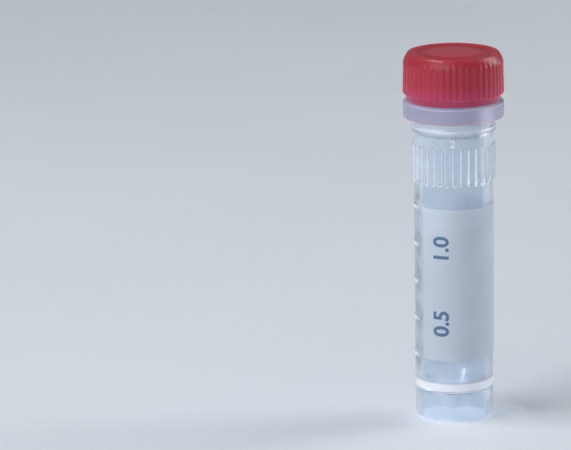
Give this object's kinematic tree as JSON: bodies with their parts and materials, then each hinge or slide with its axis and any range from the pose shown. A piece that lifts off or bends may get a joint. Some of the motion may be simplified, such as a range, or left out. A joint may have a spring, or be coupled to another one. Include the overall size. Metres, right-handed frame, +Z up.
{
  "type": "cryovial",
  "caption": "Self-standing cryogenic sample vial with an external thread, a ribbed screw cap, a seal ring and a wrap-round label.",
  "frame": {"origin": "centre of the base ring on which the vial stands", "axes": "+Z up the vial's axis towards the cap, -Y to the front, on which the label's left edge and the moulded numeral face"},
  "size_m": [0.013, 0.013, 0.048],
  "materials": {
    "clear_plastic": "translucent, satin gloss",
    "label_film": "matt white writing film",
    "seal_rubber": "soft, matt",
    "cap_plastic": "translucent red, satin gloss"
  },
  "bodies": {
    "vial": {"tube": "clear_plastic", "label": "label_film"},
    "seal": {"seal_ring": "seal_rubber"},
    "cap": {"screw_cap": "cap_plastic"}
  },
  "joints": [
    {"name": "cap_lift", "type": "slide", "parent": "vial", "child": "seal", "axis": [0, 0, 1], "range_m": [0, 0.0045]},
    {"name": "cap_turn", "type": "hinge", "parent": "seal", "child": "cap", "pos_m": [0, 0, 0.045], "axis": [0, 0, 1], "range_deg": [0, 1080]}
  ],
  "couplings": [
    {"joint": "cap_turn", "follows": "cap_lift", "rad_per_m": 4188.8}
  ]
}
